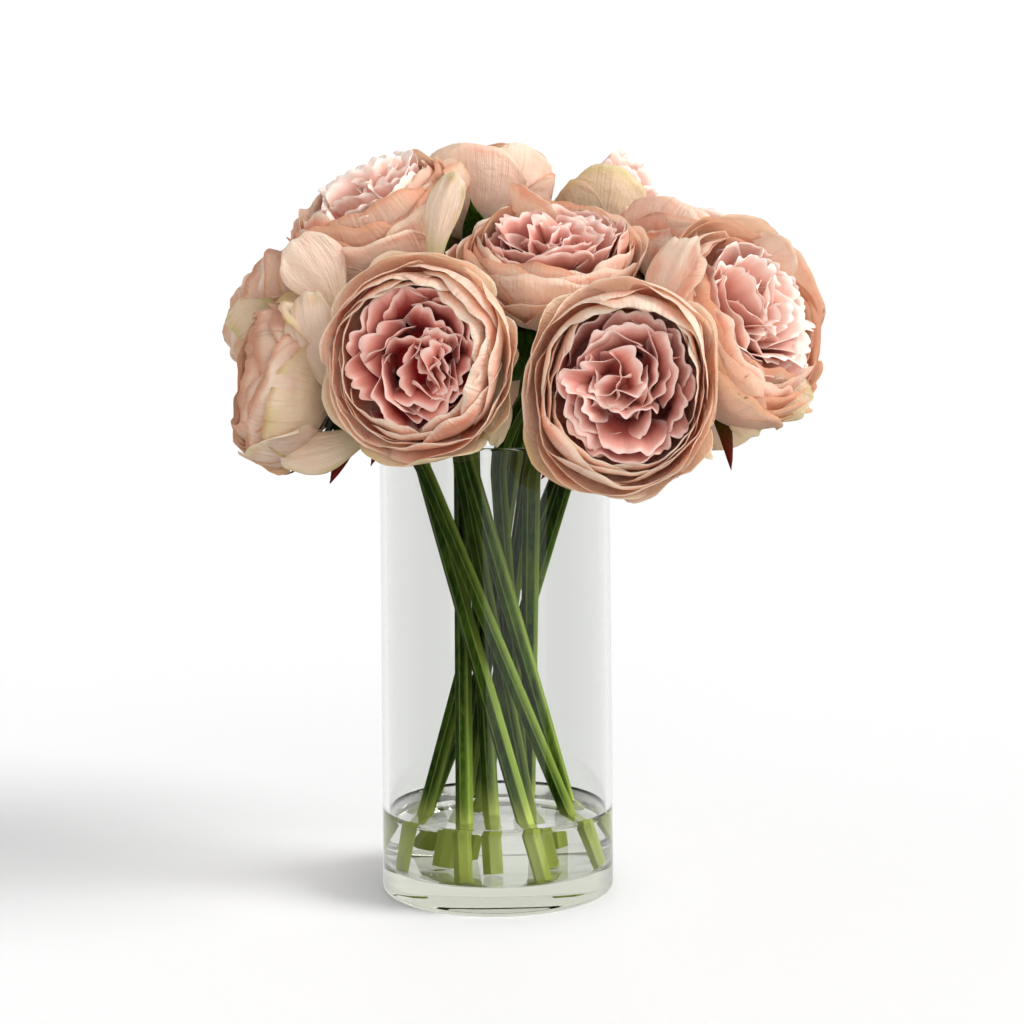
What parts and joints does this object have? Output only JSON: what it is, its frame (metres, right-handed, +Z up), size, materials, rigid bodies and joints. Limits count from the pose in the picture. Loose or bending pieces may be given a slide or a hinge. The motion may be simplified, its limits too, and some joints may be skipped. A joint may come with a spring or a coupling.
{
  "type": "peonies in a glass vase",
  "caption": "Dense dome of full peach and pink peonies on crossing green stems, standing in a little water in a clear glass cylinder vase.",
  "frame": {"origin": "centre of the vase's flat underside", "axes": "+Z up along the vase's axis, -Y towards the side from which two open blooms face the viewer over the vase's rim, +X to that viewer's right"},
  "size_m": [0.2754, 0.233, 0.3432],
  "materials": {
    "outer_petals": "matt peach cloth with cream and yellow-green edges",
    "inner_petals": "matt dusty pink cloth, darker red in the depths",
    "stems": "ribbed, matt leaf green, with dark red tips on the sepals",
    "vase_glass": "clear and smooth",
    "water": "clear and still"
  },
  "bodies": {
    "root": {"cup_petals_01": "outer_petals", "cup_petals_02": "outer_petals", "cup_petals_03": "outer_petals", "cup_petals_04": "outer_petals", "cup_petals_05": "outer_petals", "cup_petals_06": "outer_petals", "cup_petals_07": "outer_petals", "cup_petals_08": "outer_petals", "cup_petals_09": "outer_petals", "cup_petals_10": "outer_petals", "cup_petals_11": "outer_petals", "cup_petals_12": "outer_petals", "cup_petals_13": "outer_petals", "heart_petals_01": "inner_petals", "heart_petals_02": "inner_petals", "heart_petals_03": "inner_petals", "heart_petals_04": "inner_petals", "heart_petals_05": "inner_petals", "heart_petals_06": "inner_petals", "heart_petals_07": "inner_petals", "heart_petals_08": "inner_petals", "heart_petals_09": "inner_petals", "heart_petals_10": "inner_petals", "heart_petals_11": "inner_petals", "heart_petals_12": "inner_petals", "heart_petals_13": "inner_petals", "stem_01": "stems", "stem_02": "stems", "stem_03": "stems", "stem_04": "stems", "stem_05": "stems", "stem_06": "stems", "stem_07": "stems", "stem_08": "stems", "stem_09": "stems", "stem_10": "stems", "stem_11": "stems", "stem_12": "stems", "stem_13": "stems", "vase": "vase_glass", "water": "water"}
  },
  "joints": []
}
